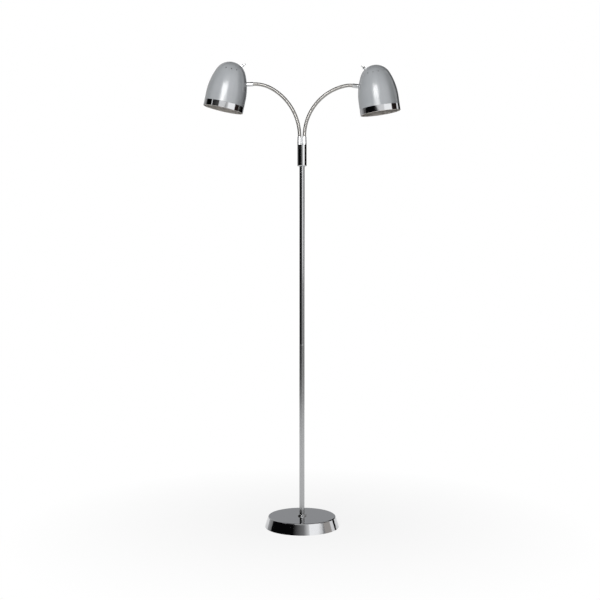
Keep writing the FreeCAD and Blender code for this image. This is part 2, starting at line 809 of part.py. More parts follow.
def make_bracket(neck):
    """Bent strip clamped by the neck's nut, whose level end carries the lamp holder."""
    sine, cosine = arm_slope()
    near = sizes.shade_wall + sizes.bracket_seat
    far = near + sizes.bracket_strip
    under = bracket_top() - sizes.bracket_strip
    tip = sizes.rod_radius + sizes.bracket_end

    def strip_point(depth, along):
        return (
            arm_entry() - depth * cosine - along * sine,
            sizes.arm_height - depth * sine + along * cosine,
        )

    def rise(depth, height):
        """How far up the strip it reaches a height."""
        return (height - sizes.arm_height + depth * sine) / cosine

    lower = -(sizes.tail_radius + sizes.bracket_end / 2)
    outer_bend = strip_point(near, rise(near, bracket_top()))
    inner_bend = strip_point(far, rise(far, under))
    body = new_body(f"{neck.name}_bracket")
    profile = new_sketch(body, "XZ_Plane", f"{body.Name}_profile")
    polygon(profile, [
        strip_point(near, lower), outer_bend, (-tip, bracket_top()),
        (-tip, under), inner_bend, strip_point(far, lower),
    ])
    pad(body, profile, sizes.bracket_width, midplane=True)

    def across_at(corner):
        def chosen(edge):
            middle = edge.CenterOfMass
            return math.hypot(middle.x - corner[0].value, middle.z - corner[1].value) < 0.01

        return chosen

    outer_radius = sizes.bracket_bend_radius + sizes.bracket_strip
    round_edges(body, outer_radius, across_at(outer_bend), "outer_bend")
    round_edges(body, sizes.bracket_bend_radius, across_at(inner_bend), "inner_bend")
    inward = Vector(-cosine.value, 0, -sine.value)
    skin = Vector(arm_entry().value, 0, sizes.arm_height.value)
    arm_hole = Placement(skin, Rotation(Vector(0, 0, 1), inward))
    drill(body, sizes.tail_radius + sizes.thread_gap, far + sizes.bracket_strip, arm_hole, "arm_hole")
    below = Placement(Vector(0, 0, (under - sizes.bracket_strip).value), Rotation())
    drill(body, sizes.rod_radius + sizes.thread_gap, 3 * sizes.bracket_strip, below, "holder_hole")
    return body


def socket_height():
    """Height of the lamp holder's mouth above the shade's mouth."""
    return bracket_top() - sizes.bracket_strip - sizes.holder_length


def make_lamp_holder(neck):
    """Lamp holder with a skirt and a hollow threaded tail through the bracket."""
    length = sizes.holder_length
    tail_end = length + sizes.bracket_strip + sizes.tail_nut_height + sizes.rod_end
    return lathe(f"{neck.name}_lamp_holder", [
        (sizes.socket_radius, ZERO),
        (sizes.holder_skirt_radius, ZERO),
        (sizes.holder_skirt_radius, sizes.holder_skirt_length),
        (sizes.holder_radius, sizes.holder_skirt_length),
        (sizes.holder_radius, length - sizes.holder_shoulder),
        (sizes.nut_flats / 2, length),
        (sizes.rod_radius, length),
        (sizes.rod_radius, tail_end),
        (sizes.rod_bore, tail_end),
        (sizes.rod_bore, sizes.socket_depth),
        (sizes.socket_radius, sizes.socket_depth),
    ])


def make_bulb(neck):
    """Small round bulb, hanging cap upwards in the lamp holder."""
    cap = sizes.socket_radius - sizes.thread_gap
    globe, throat = sizes.bulb_radius, sizes.bulb_neck_radius
    throat_height = root(globe * globe - throat * throat) - sizes.bulb_drop
    body = lathe(f"{neck.name}_bulb", [
        (ZERO, sizes.bulb_cap_length), (cap, sizes.bulb_cap_length), (cap, -sizes.rod_end),
        (throat, throat_height), (ZERO, -sizes.bulb_drop),
    ])
    sphere(body, globe, -sizes.bulb_drop, "globe")
    return body


def sphere(body, radius, height, name):
    """Add a ball centred on the body's Z axis."""
    feature = body.newObject("PartDesign::AdditiveSphere", f"{body.Name}_{name}")
    feature.setExpression("Radius", radius.text)
    attach(feature, body, "XY_Plane")
    feature.setExpression("AttachmentOffset.Base.z", height.text)


def switch_frame():
    """Where the switch stands on the crown, square to its skin; Z points out."""
    centre = crown_direction(sizes.switch_angle.value, 0)
    skin = Placement(Vector(0, 0, sizes.crown_radius.value), Rotation())
    return centre.multiply(skin)


def bushing_seat():
    """Depth below the skin where the switch's round shoulder meets the curved wall."""
    shoulder = sizes.switch_shoulder_radius
    sag = shoulder * shoulder / (sizes.crown_radius - sizes.shade_wall) / 2
    return sizes.shade_wall + sag + sizes.seat_gap


def make_switch(neck):
    """Toggle switch: box inside the crown, bushing through it, ring nut outside and lever."""
    box_top = bushing_seat() + sizes.switch_shoulder
    box = new_body(f"{neck.name}_switch_body")
    square = new_sketch(box, "XY_Plane", f"{box.Name}_square")
    half = sizes.switch_width / 2
    polygon(square, [(-half, -half), (half, -half), (half, half), (-half, half)])
    pad(box, square, sizes.switch_depth)
    drop = Placement(Vector(0, 0, -(box_top + sizes.switch_depth).value), Rotation())

    socket = sizes.lever_ball_radius + sizes.running_gap
    bushing = lathe(f"{neck.name}_switch_bushing", [
        (ZERO, -box_top),
        (sizes.switch_shoulder_radius, -box_top),
        (sizes.switch_shoulder_radius, -bushing_seat()),
        (sizes.bushing_radius, -bushing_seat()),
        (sizes.bushing_radius, sizes.bushing_height),
        (sizes.bushing_mouth_radius, sizes.bushing_height),
        (socket, sizes.lever_pivot),
        (socket, sizes.lever_pivot - socket),
        (ZERO, sizes.lever_pivot - socket),
    ])
    inner = sizes.bushing_radius + sizes.seat_gap
    outer, bevel = sizes.switch_nut_radius, sizes.switch_nut_bevel
    top = sizes.seat_gap + sizes.switch_nut_height
    nut = lathe(f"{neck.name}_switch_nut", [
        (inner, sizes.seat_gap), (outer, sizes.seat_gap), (outer, top - bevel),
        (outer - bevel, top), (inner, top),
    ])
    tip, length = sizes.lever_tip_radius, sizes.lever_length
    lever = lathe(f"{neck.name}_switch_lever", [
        (ZERO, ZERO), (sizes.lever_radius, ZERO), (tip, length - tip), (ZERO, length - tip),
    ])
    sphere(lever, sizes.lever_ball_radius, ZERO, "ball")
    sphere(lever, tip, length - tip, "tip")
    thrown = Rotation(Vector(0, 1, 0), sizes.lever_angle.value)
    pivot = Placement(Vector(0, 0, sizes.lever_pivot.value), thrown)
    return {box: drop, bushing: Placement(), nut: Placement(), lever: pivot}


def make_head(neck):
    """One shade with its ring, lamp holder, bulb and switch."""
    frame = head_frame(neck)
    for body in (make_shade(neck), make_trim_band(neck), make_bracket(neck)):
        body.Placement = frame
    socket = frame.multiply(Placement(Vector(0, 0, socket_height().value), Rotation()))
    for body in (make_lamp_holder(neck), make_bulb(neck)):
        body.Placement = socket
    bore = sizes.rod_radius + sizes.seat_gap
    nut = hex_nut(f"{neck.name}_holder_nut", sizes.nut_flats, bore, sizes.tail_nut_height)
    on_bracket = Placement(Vector(0, 0, bracket_top().value), Rotation())
    nut.Placement = frame.multiply(on_bracket)
    for body, place in make_switch(neck).items():
        body.Placement = frame.multiply(switch_frame()).multiply(place)


# ---------------------------------------------------------------- whole lamp


def write_parts():
    """Check every object and write each piece to its own file."""
    failed = [item.Name for item in doc.Objects if {"Invalid", "Error"} & set(item.State)]
    failed += [piece.Label for piece in pieces if piece.Shape.isNull() or not piece.Shape.isValid()]
    if failed:
        raise RuntimeError(f"failed: {failed}")
    os.makedirs("parts", exist_ok=True)
    for piece in pieces:
        piece.Shape.exportStep(f"parts/{piece.Label}.step")
    print(f"{len(pieces)} pieces")


def main():
    make_foot()
    clamp_ends()
    make_pole()
    make_sleeve()
    for side in (LEFT, RIGHT):
        neck = Neck(side)
        make_neck_fittings(neck)
        for number in range(NECK_LINKS):
            make_link(neck, number)
        make_head(neck)
    doc.recompute()
    write_parts()


if __name__ == "__main__":
    main()
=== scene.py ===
# %% [markdown]
# # A floor lamp with two reading heads
#
# The real lamp is a weighted, chrome-plated foot, a slim pole in two lengths, a sleeve, and two
# flexible necks that carry egg-shaped shades. The construction is already fixed: every piece has
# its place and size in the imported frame. This lesson models the pieces that the eye sees once
# more, with the rounded edges, ribs, threads and knurls that a finished product has, and gives
# each one the surface that its real material and finish would have.

# %% Load the frame
import json
import math

import bpy
from mathutils import Matrix, Vector

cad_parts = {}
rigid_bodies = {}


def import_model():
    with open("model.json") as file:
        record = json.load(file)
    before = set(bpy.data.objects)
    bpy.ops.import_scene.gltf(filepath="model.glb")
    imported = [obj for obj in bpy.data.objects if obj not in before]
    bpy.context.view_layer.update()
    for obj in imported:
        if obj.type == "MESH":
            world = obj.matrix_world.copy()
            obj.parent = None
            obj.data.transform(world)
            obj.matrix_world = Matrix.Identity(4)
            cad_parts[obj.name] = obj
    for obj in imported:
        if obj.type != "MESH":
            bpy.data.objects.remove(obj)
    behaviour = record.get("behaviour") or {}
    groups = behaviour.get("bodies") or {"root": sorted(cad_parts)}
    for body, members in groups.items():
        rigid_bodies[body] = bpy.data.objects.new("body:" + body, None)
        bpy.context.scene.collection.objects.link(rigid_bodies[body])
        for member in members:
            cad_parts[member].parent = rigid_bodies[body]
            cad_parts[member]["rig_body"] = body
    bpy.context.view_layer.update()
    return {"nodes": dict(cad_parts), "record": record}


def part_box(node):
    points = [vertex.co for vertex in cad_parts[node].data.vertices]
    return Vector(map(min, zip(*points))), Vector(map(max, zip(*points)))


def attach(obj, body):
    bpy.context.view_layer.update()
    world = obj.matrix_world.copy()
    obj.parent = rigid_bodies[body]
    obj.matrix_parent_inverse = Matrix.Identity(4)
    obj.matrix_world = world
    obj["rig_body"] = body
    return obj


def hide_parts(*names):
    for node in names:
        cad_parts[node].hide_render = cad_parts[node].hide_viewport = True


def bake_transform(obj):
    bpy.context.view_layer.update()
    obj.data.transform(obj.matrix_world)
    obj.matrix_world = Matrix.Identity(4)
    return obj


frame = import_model()
MM = 0.001

# %% [markdown]
# ## Camera
#
# The camera stands in front of the lamp, a little over half its height, and looks slightly
# down, so the heads are seen from below and the foot from above. A long lens keeps the pole
# straight. The lens is worked out from the field of view over the 600 pixels of the frame.

# %% Camera
CAMERA_DISTANCE = 3.37
CAMERA_HEIGHT = 0.875
CAMERA_SIDE = -0.006
CAMERA_PITCH = math.radians(-2.88)
FIELD_OF_VIEW = 2 * math.atan(300 / 1095)

camera_data = bpy.data.cameras.new("camera")
camera_data.angle = FIELD_OF_VIEW
camera = bpy.data.objects.new("camera", camera_data)
bpy.context.scene.collection.objects.link(camera)
camera.location = (CAMERA_SIDE, -CAMERA_DISTANCE, CAMERA_HEIGHT)
camera.rotation_euler = (math.pi / 2 + CAMERA_PITCH, 0, 0)
bpy.context.scene.camera = camera
bpy.context.scene.view_settings.view_transform = "Standard"
print("camera lens:", round(camera_data.lens, 1), "mm")

# %% [markdown]
# ## Colours and nodes
#
# Colours are written as the sRGB hex values that a colour picker shows, and one function turns
# them into the linear values that the renderer adds up. One more function adds a node, sets it
# and links it, so that each material below reads as a short list of what its surface is.


# %% Colour and node helpers
def linear(hex_colour):
    """An sRGB colour such as #8a8d90 as linear RGBA."""
    channels = [int(hex_colour[i:i + 2], 16) / 255 for i in (1, 3, 5)]
    return [c / 12.92 if c <= 0.04045 else ((c + 0.055) / 1.055) ** 2.4 for c in channels] + [1.0]


def add(tree, kind, inputs, **settings):
    """Add one node. An input is a plain value or the output of another node."""
    node = tree.nodes.new(kind)
    for name, value in settings.items():
        setattr(node, name, value)
    for name, value in inputs.items():
        if isinstance(value, bpy.types.NodeSocket):
            tree.links.new(value, node.inputs[name])
        else:
            node.inputs[name].default_value = value
    return node


def new_material(name):
    """An empty node material, its tree and its output node."""
    material = bpy.data.materials.new(name)
    material.use_nodes = True
    material.node_tree.nodes.clear()
    output = material.node_tree.nodes.new("ShaderNodeOutputMaterial")
    return material, material.node_tree, output


def surface(tree, output, inputs):
    """A Principled surface wired to the output."""
    shader = add(tree, "ShaderNodeBsdfPrincipled", inputs)
    tree.links.new(shader.outputs["BSDF"], output.inputs["Surface"])
    return shader


def speckle(tree, size_mm, stretch=(1, 1, 1), detail=2.0):
    """Noise whose lumps are about size_mm across, in the piece's own coordinates."""
    place = add(tree, "ShaderNodeTexCoord", {})
    scaled = add(tree, "ShaderNodeMapping", {"Vector": place.outputs["Object"], "Scale": stretch})
    return add(tree, "ShaderNodeTexNoise", {
        "Vector": scaled.outputs["Vector"], "Scale": 1 / (size_mm * MM), "Detail": detail,
    }).outputs["Fac"]


def between(tree, share, low, high, start=0.0, end=1.0):
    """Map a value from start..end onto low..high."""
    return add(tree, "ShaderNodeMapRange", {
        "Value": share, "From Min": start, "From Max": end, "To Min": low, "To Max": high,
    }).outputs["Result"]


def bumped(tree, height, depth_mm):
    """Bump whose full height is depth_mm."""
    return add(tree, "ShaderNodeBump", {"Height": height, "Distance": depth_mm * MM}).outputs["Normal"]


def blended(tree, share, first, second):
    """A colour that goes from first to second as share goes from 0 to 1."""
    mix = add(tree, "ShaderNodeMix", {"Factor": share, "A": first, "B": second}, data_type="RGBA")
    return mix.outputs["Result"]


print("#8a8d90 is", [round(c, 3) for c in linear("#8a8d90")])

# %% [markdown]
# ## Chrome plate
#
# The foot, the pole, the sleeve and the rings are steel or brass, polished and electroplated
# with nickel and chromium. The plate itself has almost no colour and an even mirror gloss. What
# tells the eye that it is real is slight: a soft waviness left by polishing, and faint smears
# that dull the gloss in patches. The waviness is a bump of a micron or so, and the smears change
# the roughness. A drawn tube has both drawn out along its length.


# %% Chrome materials
def make_chrome(name, colour, roughness, smear, wave_mm, wave_depth_mm, stretch=(1, 1, 1)):
    material, tree, output = new_material(name)
    smears = speckle(tree, 18, stretch, detail=4.0)
    waves = speckle(tree, wave_mm, stretch)
    surface(tree, output, {
        "Base Color": linear(colour),
        "Metallic": 1.0,
        "Roughness": between(tree, smears, roughness, roughness + smear),
        "Normal": bumped(tree, waves, wave_depth_mm),
    })
    return material


ALONG_POLE = (1, 1, 0.05)
plated_steel = make_chrome("chrome_plated_pressed_steel", "#c6c7c9", 0.06, 0.05, 30, 0.006)
plated_tube = make_chrome("chrome_plated_drawn_tube", "#bfc0c2", 0.09, 0.06, 6, 0.0006, ALONG_POLE)
satin_tube = make_chrome("satin_chrome_drawn_tube", "#adaeaf", 0.17, 0.08, 6, 0.0010, ALONG_POLE)
plated_brass = make_chrome("chrome_plated_turned_brass", "#c8c9ca", 0.06, 0.04, 8, 0.0005)
wound_steel = make_chrome("satin_chrome_wound_steel", "#a19f9c", 0.26, 0.10, 3, 0.002)
print("chrome:", plated_steel.name, plated_tube.name, plated_brass.name, wound_steel.name)

# %% [markdown]
# ## Grey stoving enamel
#
# The shades are spun sheet, sprayed and baked. Stoving enamel is a hard dielectric gloss with a
# clear top: the colour is even, and the surface has the faint "orange peel" of sprayed paint,
# lumps about 2 mm across and a micron high. The inside has a duller coat whose dark grey is painted
# shade, so that the vents show as dark holes. Each shade is one solid, so the paint tells inside
# from outside by asking whether the surface faces away from a point in the middle of the shade or
# towards it.


# %% Enamel material
def make_enamel(name, outside, inside, middle):
    material, tree, output = new_material(name)
    peel = speckle(tree, 2.2)
    mottle = speckle(tree, 30, detail=3.0)
    place = add(tree, "ShaderNodeTexCoord", {})
    from_middle = add(tree, "ShaderNodeVectorMath", {0: place.outputs["Object"], 1: middle},
                      operation="SUBTRACT")
    facing = add(tree, "ShaderNodeVectorMath", {
        0: from_middle.outputs["Vector"], 1: place.outputs["Normal"],
    }, operation="DOT_PRODUCT")
    is_outside = between(tree, facing.outputs["Value"], 0.0, 1.0, -2 * MM, 2 * MM)
    # The inside colour is painted shade: it is dark so that the vents show as dark holes.
    coat = blended(tree, is_outside, linear(inside), linear(outside))
    tint = blended(tree, between(tree, mottle, 0.0, 0.10), coat, linear("#5f6163"))
    surface(tree, output, {
        "Base Color": tint,
        "Roughness": between(tree, is_outside, 0.5, 0.24),
        "IOR": 1.5,
        "Coat Weight": 0.5,
        "Coat Roughness": 0.18,
        "Normal": bumped(tree, peel, 0.0008),
    })
    return material


# %% [markdown]
# ## Fittings
#
# Nuts and brackets are zinc-plated steel, a slightly bluish plate with soft patches. The weight
# is painted cast iron, the bush in the foot is rubber, the sheet under the foot is closed-cell
# foam, and the lamp holder is moulded phenolic resin, almost black with a swirl of brown.


# %% Fitting materials
def make_plain(name, colour, second, patch_mm, roughness, rough_change, grain_mm, grain_depth_mm,
               metallic=0.0):
    material, tree, output = new_material(name)
    patches = speckle(tree, patch_mm, detail=4.0)
    grain = speckle(tree, grain_mm, detail=3.0)
    inputs = {
        "Base Color": blended(tree, patches, linear(colour), linear(second)),
        "Metallic": metallic,
        "Roughness": between(tree, patches, roughness, roughness + rough_change),
        "Normal": bumped(tree, grain, grain_depth_mm),
    }
    surface(tree, output, inputs)
    return material


zinc = make_plain("zinc_plated_steel", "#b4b6b8", "#9c9fa3", 6, 0.30, 0.18, 1.2, 0.006, metallic=1.0)
iron = make_plain("painted_cast_iron", "#2c2d2f", "#232425", 12, 0.55, 0.25, 1.6, 0.12)
brass = make_plain("turned_brass", "#c8a25c", "#b58f4c", 10, 0.25, 0.12, 2.0, 0.003, metallic=1.0)
rubber = make_plain("moulded_black_rubber", "#1b1b1c", "#242425", 8, 0.62, 0.20, 0.9, 0.02)
foam = make_plain("closed_cell_foam", "#202123", "#2b2c2e", 3, 0.85, 0.10, 0.9, 0.10)
phenolic = make_plain("moulded_phenolic_resin", "#171513", "#241d18", 14, 0.32, 0.14, 1.5, 0.006)
dull_plate = make_plain("dull_plate_inside_band", "#dcd6cf", "#cfc9c2", 5, 0.45, 0.15, 3.0, 0.004)
opal_glass = make_plain("opal_bulb_glass", "#efece4", "#e6e2d8", 25, 0.18, 0.10, 9.0, 0.004)
print("fittings:", zinc.name, iron.name, rubber.name, foam.name, phenolic.name, opal_glass.name)

DRESS = {
    "polished_chrome": plated_brass, "neck_steel": wound_steel, "grey_lacquer": None,
    "zinc_steel": zinc, "cast_iron": iron, "brass": brass, "black_rubber": rubber,
    "foam_pad": foam, "black_phenolic": phenolic, "bulb_glass": opal_glass, "switch_steel": plated_brass,
}
SLOT_OF = {part["node"]: part["material_slot"] for part in frame["record"]["subparts"]}

# %% [markdown]
# ## Where the necks and heads are
#
# Each neck is two arcs that run on into each other, and each head stands square on the end of its
# neck. These are the sizes of the construction, in millimetres. A frame on the neck's centre line
# has Z along the neck and X to the lamp's rear, and a head's frame has its origin in the middle of
# the mouth, with Z up through the crown and X towards the pole.

# %% Neck and head frames
NECK_LENGTH = 236.0
NECK_LINKS = 7
NECK_SPACING = 14.6
NECK_START = 1206.0  # height where the necks leave their ferrules
HEAD_FERRULE_LENGTH = 19.0
SHADE_RADIUS, SHADE_HEIGHT, CROWN_RADIUS, FLANK_HEIGHT = 61.5, 147.0, 49.0, 41.0
ARM_HEIGHT = 90.0
NECKS = {
    "left": {"side": -1, "radius": 167.0, "lower": math.radians(60.5), "upper": math.radians(32.5)},
    "right": {"side": 1, "radius": 157.0, "lower": math.radians(78.0), "upper": math.radians(19.0)},
}
for neck in NECKS.values():
    neck["lower_length"] = neck["radius"] * neck["lower"]
    neck["upper_radius"] = (NECK_LENGTH - neck["lower_length"]) / neck["upper"]


def axes(x, z, origin):
    """Matrix with these X and Z directions and this origin in millimetres."""
    y = z.cross(x)
    return Matrix.Translation(origin * MM) @ Matrix((x, y, z)).transposed().to_4x4()


def neck_frame(neck, distance):
    """Frame on a neck's centre line, distance millimetres from its foot."""
    side, radius, far_radius = neck["side"], neck["radius"], neck["upper_radius"]
    on_neck = min(max(distance, 0.0), NECK_LENGTH)
    lower = min(on_neck, neck["lower_length"]) / radius
    heading = lower + (on_neck - lower * radius) / far_radius
    out = NECK_SPACING / 2 + radius * (1 - math.cos(lower))
    out += far_radius * (math.cos(lower) - math.cos(heading))
    up = NECK_START + radius * math.sin(lower) + far_radius * (math.sin(heading) - math.sin(lower))
    out += (distance - on_neck) * math.sin(heading)
    up += (distance - on_neck) * math.cos(heading)
    along = Vector((side * math.sin(heading), 0, math.cos(heading)))
    return axes(Vector((0, 1, 0)), along, Vector((side * out, 0, up)))


FLANK_RISE = SHADE_HEIGHT - CROWN_RADIUS - FLANK_HEIGHT
FLANK_RADIUS = (SHADE_RADIUS**2 + FLANK_RISE**2 - CROWN_RADIUS**2) / (SHADE_RADIUS - CROWN_RADIUS) / 2
CLIMB = math.asin((ARM_HEIGHT - FLANK_HEIGHT) / FLANK_RADIUS)  # neck stands square to the skin
ARM_ENTRY = SHADE_RADIUS - FLANK_RADIUS * (1 - math.cos(CLIMB))


def head_frame(neck):
    """The shade's own frame, from where its neck ends."""
    side = neck["side"]
    entry = neck_frame(neck, NECK_LENGTH + HEAD_FERRULE_LENGTH)
    tilt = CLIMB - (neck["lower"] + neck["upper"] - math.pi / 2)
    inward = Vector((-side * math.cos(tilt), 0, -math.sin(tilt)))
    upward = Vector((-side * math.sin(tilt), 0, math.cos(tilt)))
    return axes(inward, upward, entry.translation / MM - inward * ARM_ENTRY - upward * ARM_HEIGHT)


SWITCH_ANGLE = math.radians(34.0)
LEVER_PIVOT = 3.0
LEVER_THROW = math.radians(13.0)


def switch_frame(head):
    """Frame on the crown's skin, square to it, where the toggle switch stands."""
    crown_middle = Matrix.Translation((0, 0, (SHADE_HEIGHT - CROWN_RADIUS) * MM))
    turn = Matrix.Rotation(SWITCH_ANGLE, 4, "Y")
    return head @ crown_middle @ turn @ Matrix.Translation((0, 0, CROWN_RADIUS * MM))


for side_name, neck in NECKS.items():
    neck["head"] = head_frame(neck)
    neck["switch"] = switch_frame(neck["head"])
    low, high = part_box(f"{side_name}_trim_band")
    print(side_name, "mouth", [round(v / MM, 1) for v in neck["head"].translation],
          "band from", [round(v / MM, 1) for v in low], "to", [round(v / MM, 1) for v in high])

# %% [markdown]
# ## Turning
#
# Most of this lamp was made on a lathe or by spinning, and the same is done here. A profile is
# drawn by extruding one vertex from corner to corner, and then it is spun once round the Z axis.
# Sharp corners catch no light on a real piece, because they are always broken a little, so a
# Bevel modifier rounds each one. Normals weighted by area keep the flats flat.


# %% Turning helpers
def alone(piece):
    """Select one object and make it active."""
    bpy.ops.object.select_all(action="DESELECT")
    piece.select_set(True)
    bpy.context.view_layer.objects.active = piece


def corner(radius, height, size, start, end, steps=5):
    """Points of a round corner: centre, radius of the corner, and its first and last angle."""
    angles = [math.radians(start + (end - start) * i / steps) for i in range(steps + 1)]
    return [(radius + size * math.cos(a), height + size * math.sin(a)) for a in angles]


def drawn(name, profile):
    """A chain of edges through (radius, height) points in millimetres."""
    points = [Vector((radius, 0, height)) * MM for radius, height in profile]
    bpy.ops.object.select_all(action="DESELECT")
    bpy.ops.mesh.primitive_plane_add(size=MM, location=points[0])
    piece = bpy.context.object
    piece.name = name
    bpy.ops.object.transform_apply(location=True)
    bpy.ops.object.mode_set(mode="EDIT")
    bpy.ops.mesh.merge(type="CENTER")
    for here, following in zip(points, points[1:]):
        bpy.ops.mesh.extrude_region_move(TRANSFORM_OT_translate={"value": following - here})
    bpy.ops.object.mode_set(mode="OBJECT")
    return piece


def turned(name, profile, steps=96):
    """Spin a closed profile once round the Z axis."""
    piece = drawn(name, profile + profile[:1])
    bpy.ops.object.mode_set(mode="EDIT")
    bpy.ops.mesh.select_all(action="SELECT")
    bpy.ops.mesh.spin(steps=steps, angle=2 * math.pi, center=(0, 0, 0), axis=(0, 0, 1))
    bpy.ops.mesh.select_all(action="SELECT")
    bpy.ops.mesh.remove_doubles(threshold=0.004 * MM)
    bpy.ops.mesh.normals_make_consistent(inside=False)
    bpy.ops.object.mode_set(mode="OBJECT")
    return piece


def apply_modifier(piece, kind, **settings):
    modifier = piece.modifiers.new(kind.lower(), kind)
    for name, value in settings.items():
        setattr(modifier, name, value)
    alone(piece)
    bpy.ops.object.modifier_apply(modifier=modifier.name)


def softened(piece, edge_mm, segments=3, sharp=math.radians(28)):
    """Round the corners and smooth the rest."""
    if edge_mm:
        apply_modifier(piece, "BEVEL", width=edge_mm * MM, segments=segments, limit_method="ANGLE",
                       angle_limit=sharp, use_clamp_overlap=True)
    alone(piece)
    bpy.ops.object.shade_smooth_by_angle(angle=math.radians(40))
    apply_modifier(piece, "WEIGHTED_NORMAL", keep_sharp=True)
    return piece


def fit(piece, node, place=None, material=None):
    """Put a finished piece where its node is, in the node's finish and on the node's body."""
    alone(piece)
    if place is not None:
        piece.matrix_world = place
    bpy.ops.object.transform_apply(location=True, rotation=True, scale=True)
    if not piece.data.materials:
        piece.data.materials.append(material or DRESS[SLOT_OF[node]])
    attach(piece, frame["nodes"][node]["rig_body"])
    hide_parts(node)
    compare(piece, node)
    return piece


def compare(piece, node):
    """Print how far the new piece's box is from the node's, and how many triangles it has."""
    piece.data.update()
    points = [v.co for v in piece.data.vertices]
    low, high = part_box(node)
    off = []
    for i in range(3):
        along = [p[i] for p in points]
        off.append(max(abs(min(along) - low[i]), abs(max(along) - high[i])) / MM)
    piece.data.calc_loop_triangles()
    print(f"{piece.name}: {len(piece.data.loop_triangles)} triangles, box within {max(off):.2f} mm")


# %% [markdown]
# ## Foot, pole and sleeve
#
# The collar, the tubes, the ring between them, the sleeve and its cap are all turned or drawn
# round. The two tubes have ends rolled over a little, so the joint shows as a fine dark line on
# each side of the ring. The foam sheet under the foot is cut with a soft edge.

# %% Foot and pole pieces
POLE_RADIUS, POLE_BORE = 8.0, 7.0
POLE_FOOT, POLE_JOINT, POLE_TOP = 36.0, 567.0, 1115.5
RING_HALF = 0.6
FOOT_TOP = 34.0


def standing(height):
    return Matrix.Translation((0, 0, height * MM))


collar = turned("foot_collar_turned", [
    (5.2, 0), (13.5, 0), (13.5, 1.2), (13.1, 1.5), (13.5, 1.8), (13.5, 3.7), (12.7, 4.5), (8.05, 4.5),
    (8.05, 2.0), (5.2, 2.0),
])
fit(softened(collar, 0.25), "foot_collar", standing(FOOT_TOP), plated_brass)


def tube_piece(name, low, high):
    length = high - low
    wall = [(POLE_BORE, 0), (POLE_RADIUS, 0), (POLE_RADIUS, length), (POLE_BORE, length)]
    return turned(name, wall, steps=64)


lower = tube_piece("lower_pole_drawn", POLE_FOOT, POLE_JOINT - RING_HALF)
fit(softened(lower, 0.35), "lower_pole", standing(POLE_FOOT), satin_tube)
upper = tube_piece("upper_pole_drawn", POLE_JOINT + RING_HALF, POLE_TOP)
fit(softened(upper, 0.35), "upper_pole", standing(POLE_JOINT + RING_HALF), plated_tube)
coupler = turned("pole_coupler_turned", [
    (3.6, -16.6), (6.95, -16.6), (6.95, -0.6), (8.25, -0.6), (8.25, 0.6), (6.95, 0.6),
    (6.95, 16.6), (3.6, 16.6),
], steps=64)
fit(softened(coupler, 0.25), "pole_coupler", standing(POLE_JOINT), plated_brass)

# %% Foam sheet
sheet = turned("foot_foam_sheet", [(0, 0), (108, 0), (108, 3), (0, 3)], steps=160)
fit(softened(sheet, 0.8), "base_pad", standing(0), foam)

# %% Sleeve, cap and neck ferrules
SLEEVE_RADIUS, SLEEVE_BORE, SLEEVE_RIM = 14.3, 13.1, 64.8
NECK_FOOT = 1181.5
sleeve = turned("junction_sleeve_turned", [
    (5.2, 0), *corner(11.8, 2.5, 2.5, -90, 0), (SLEEVE_RADIUS, SLEEVE_RIM), (SLEEVE_BORE, SLEEVE_RIM),
    (SLEEVE_BORE, 3.0), (5.2, 3.0),
])
fit(softened(sleeve, 0.25), "junction_sleeve", standing(POLE_TOP), plated_brass)
cap = turned("sleeve_cap_turned", [(0, -4), (13.05, -4), (13.05, 0), (14.3, 0), (14.3, 1.2), (0, 1.2)])
fit(softened(cap, 0.35), "sleeve_cap", standing(POLE_TOP + SLEEVE_RIM), plated_brass)

ferrule_profile = [
    (2.6, -10.7), (3.6, -10.7), (3.6, 0), (7.0, 0), (6.94, 2.0), (6.6, 2.2), (6.6, 2.7), (6.9, 2.9),
    (6.36, 22.6), *corner(5.7, 23.9, 0.6, 0, 90, 3), (4.65, 24.5), (4.65, 9.5), (2.6, 9.5),
]
for side_name, neck in NECKS.items():
    ferrule = turned(f"{side_name}_neck_ferrule_turned", ferrule_profile, steps=64)
    foot = Matrix.Translation(Vector((neck["side"] * NECK_SPACING / 2, 0, NECK_FOOT)) * MM)
    fit(softened(ferrule, 0.15), f"{side_name}_neck_ferrule", foot, plated_brass)

# %% Head ferrules
head_ferrule_profile = [
    (4.65, 0), *corner(5.8, 0.8, 0.8, -90, 0, 3), (6.6, 14.2), (6.25, 14.5), (6.25, 15.1), (6.6, 15.4),
    (6.6, 18.95),
    (3.6, 18.95), (3.6, 28.6), (2.6, 28.6), (2.6, 15.0), (4.65, 15.0),
]
for side_name, neck in NECKS.items():
    ferrule = turned(f"{side_name}_head_ferrule_turned", head_ferrule_profile, steps=64)
    fit(softened(ferrule, 0.15), f"{side_name}_head_ferrule", neck_frame(neck, NECK_LENGTH), plated_brass)

# %% [markdown]
# ## Flexible necks
#
# A flexible neck is a hose wound from two wires: a round one makes the ribs, and a wedge-shaped
# one pressed between its turns holds them by friction. From outside it is one long screw of
# shallow ribs. One rib is drawn as a chain of edges, and a Screw modifier winds it up the Z axis.
# A Curve modifier then bends the straight hose along the neck's own line, which is a Bezier curve
# with a knot where each arc starts and ends. The hose is made in lengths that reach from the
# middle of one link to the middle of the next, one over each joint; only the length at each end
# is put on a body. A length has a whole number of turns, and the ribs run on from each to the next.

# %% Neck centre lines
LINK_LENGTH = NECK_LENGTH / NECK_LINKS
TURNS_PER_LINK = 14
PITCH = LINK_LENGTH / TURNS_PER_LINK
RUN_IN = 20 * PITCH  # straight run of the line before the neck starts, longer than what the ferrule hides


